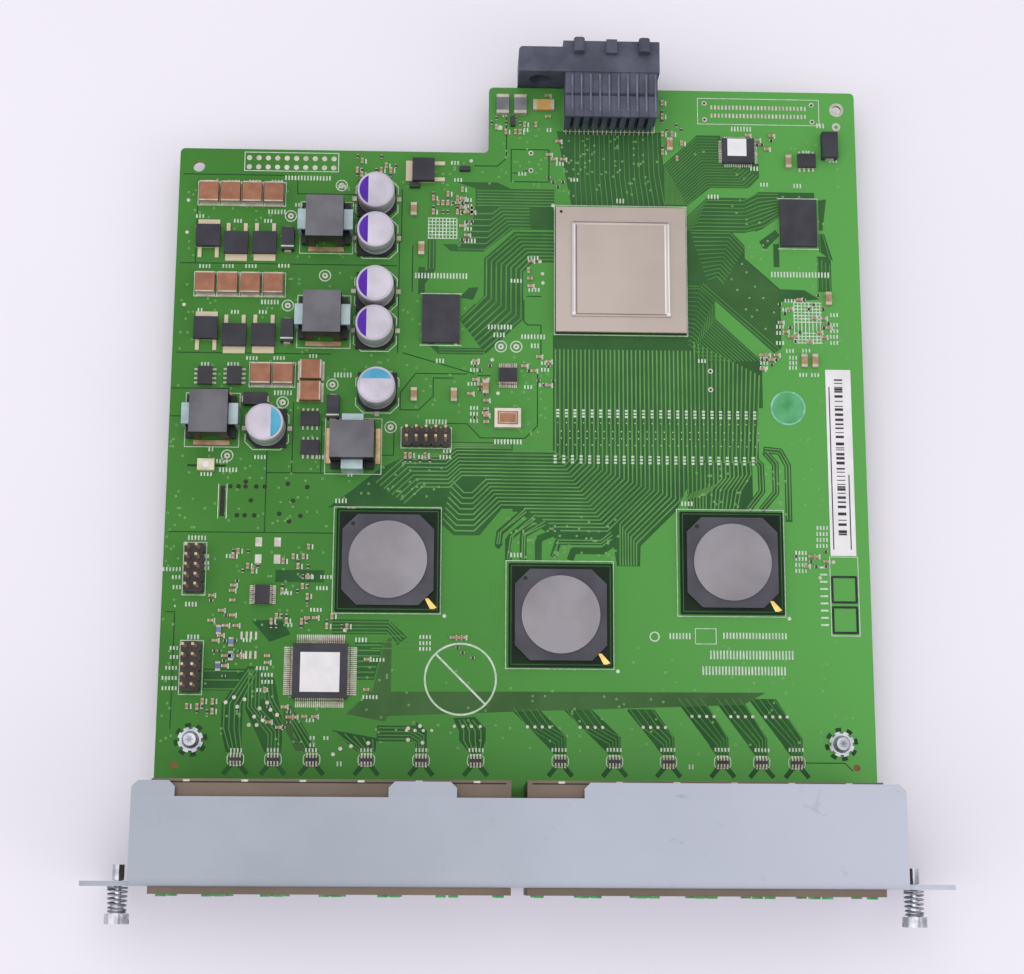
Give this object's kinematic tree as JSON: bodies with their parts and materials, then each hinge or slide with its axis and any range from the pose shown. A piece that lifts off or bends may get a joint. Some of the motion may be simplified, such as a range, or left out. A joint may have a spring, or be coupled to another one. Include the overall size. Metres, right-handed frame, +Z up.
{
  "type": "switch line card",
  "caption": "Network switch line card: green circuit board behind a folded faceplate with two blocks of stacked jacks, a backplane connector and sprung captive screws.",
  "frame": {"origin": "middle of the bounding box, on the surface that the card lies on", "axes": "+X across the card to the right as seen from above with the faceplate nearest, +Y from the faceplate to the backplane connector, +Z up from the board's solder side to its component side"},
  "size_m": [0.211, 0.2336, 0.0378],
  "materials": {
    "solder_mask": "green solder resist over glass fibre laminate",
    "blue_grey_paint": "smooth satin paint on folded steel",
    "bright_steel": "bright zinc plated",
    "chrome_plate": "polished plating",
    "spring_wire": "drawn spring wire",
    "shield_nickel": "dull nickel on thin sheet",
    "black_moulding": "moulded, lightly textured",
    "chip_moulding": "matt epoxy",
    "laminate": "dark green chip laminate",
    "nickel_plate": "satin nickel plate",
    "oscillator_lid": "lidded package with a pale rim",
    "lamp_resin": "milky resin",
    "tan_ceramic": "bare fired block with tinned ends",
    "diode_moulding": "matt epoxy",
    "grey_ceramic": "bare ferrite",
    "fuse_body": "glazed orange body with tinned ends",
    "gold_plate": "thin gold flash",
    "light_pipe": "clear green tinted",
    "ferrite": "ground ferrite",
    "tinned_copper": "tinned copper strap",
    "can_aluminium": "bright drawn can"
  },
  "bodies": {
    "card": {"backplane_housing": "black_moulding", "backplane_wafers": "black_moulding", "board_screws": "bright_steel", "board_standoffs": "bright_steel", "can_bases": "black_moulding", "can_capacitor_1": "can_aluminium", "can_capacitor_2": "can_aluminium", "can_capacitor_3": "can_aluminium", "can_capacitor_4": "can_aluminium", "can_capacitor_5": "can_aluminium", "can_capacitor_6": "can_aluminium", "ceramic_capacitors": "tan_ceramic", "circuit_board": "solder_mask", "controller_chip": "chip_moulding", "faceplate": "blue_grey_paint", "ferrite_beads": "grey_ceramic", "fuse": "fuse_body", "header_pins": "gold_plate", "header_strips": "black_moulding", "inductor_core_1": "ferrite", "inductor_core_2": "ferrite", "inductor_core_3": "ferrite", "inductor_core_4": "ferrite", "inductor_strap_1": "tinned_copper", "inductor_strap_2": "tinned_copper", "inductor_strap_3": "tinned_copper", "inductor_strap_4": "tinned_copper", "left_jack_housing": "black_moulding", "left_jack_light_pipes": "light_pipe", "left_jack_shield": "shield_nickel", "left_transceiver_mould": "chip_moulding", "left_transceiver_spreader": "nickel_plate", "left_transceiver_substrate": "laminate", "lock_washers": "bright_steel", "logic_chip": "chip_moulding", "memory_chips": "chip_moulding", "middle_transceiver_mould": "chip_moulding", "middle_transceiver_spreader": "nickel_plate", "middle_transceiver_substrate": "laminate", "oscillator": "oscillator_lid", "power_transistors": "chip_moulding", "processor_lid": "nickel_plate", "processor_substrate": "laminate", "rectifier_diodes": "diode_moulding", "resistor_arrays": "chip_moulding", "right_jack_housing": "black_moulding", "right_jack_light_pipes": "light_pipe", "right_jack_shield": "shield_nickel", "right_transceiver_mould": "chip_moulding", "right_transceiver_spreader": "nickel_plate", "right_transceiver_substrate": "laminate", "small_outline_chips": "chip_moulding", "status_lamp": "lamp_resin", "tantalum_capacitor": "chip_moulding"},
    "left_plunger": {"left_screw_spring": "spring_wire"},
    "left_screw": {"left_captive_screw": "chrome_plate"},
    "right_plunger": {"right_screw_spring": "spring_wire"},
    "right_screw": {"right_captive_screw": "chrome_plate"}
  },
  "joints": [
    {"name": "left_screw_press", "type": "slide", "parent": "card", "child": "left_plunger", "axis": [0, 1, 0], "range_m": [0, 0.004], "stiffness_N_per_m": 300, "springref_m": -0.001, "deforming": ["left_screw_spring"]},
    {"name": "left_screw_turn", "type": "hinge", "parent": "left_plunger", "child": "left_screw", "pos_m": [-0.0985, -0.10768, 0.0189], "axis": [0, 1, 0], "continuous": true},
    {"name": "right_screw_press", "type": "slide", "parent": "card", "child": "right_plunger", "axis": [0, 1, 0], "range_m": [0, 0.004], "stiffness_N_per_m": 300, "springref_m": -0.001, "deforming": ["right_screw_spring"]},
    {"name": "right_screw_turn", "type": "hinge", "parent": "right_plunger", "child": "right_screw", "pos_m": [0.0985, -0.10768, 0.0189], "axis": [0, 1, 0], "continuous": true}
  ]
}
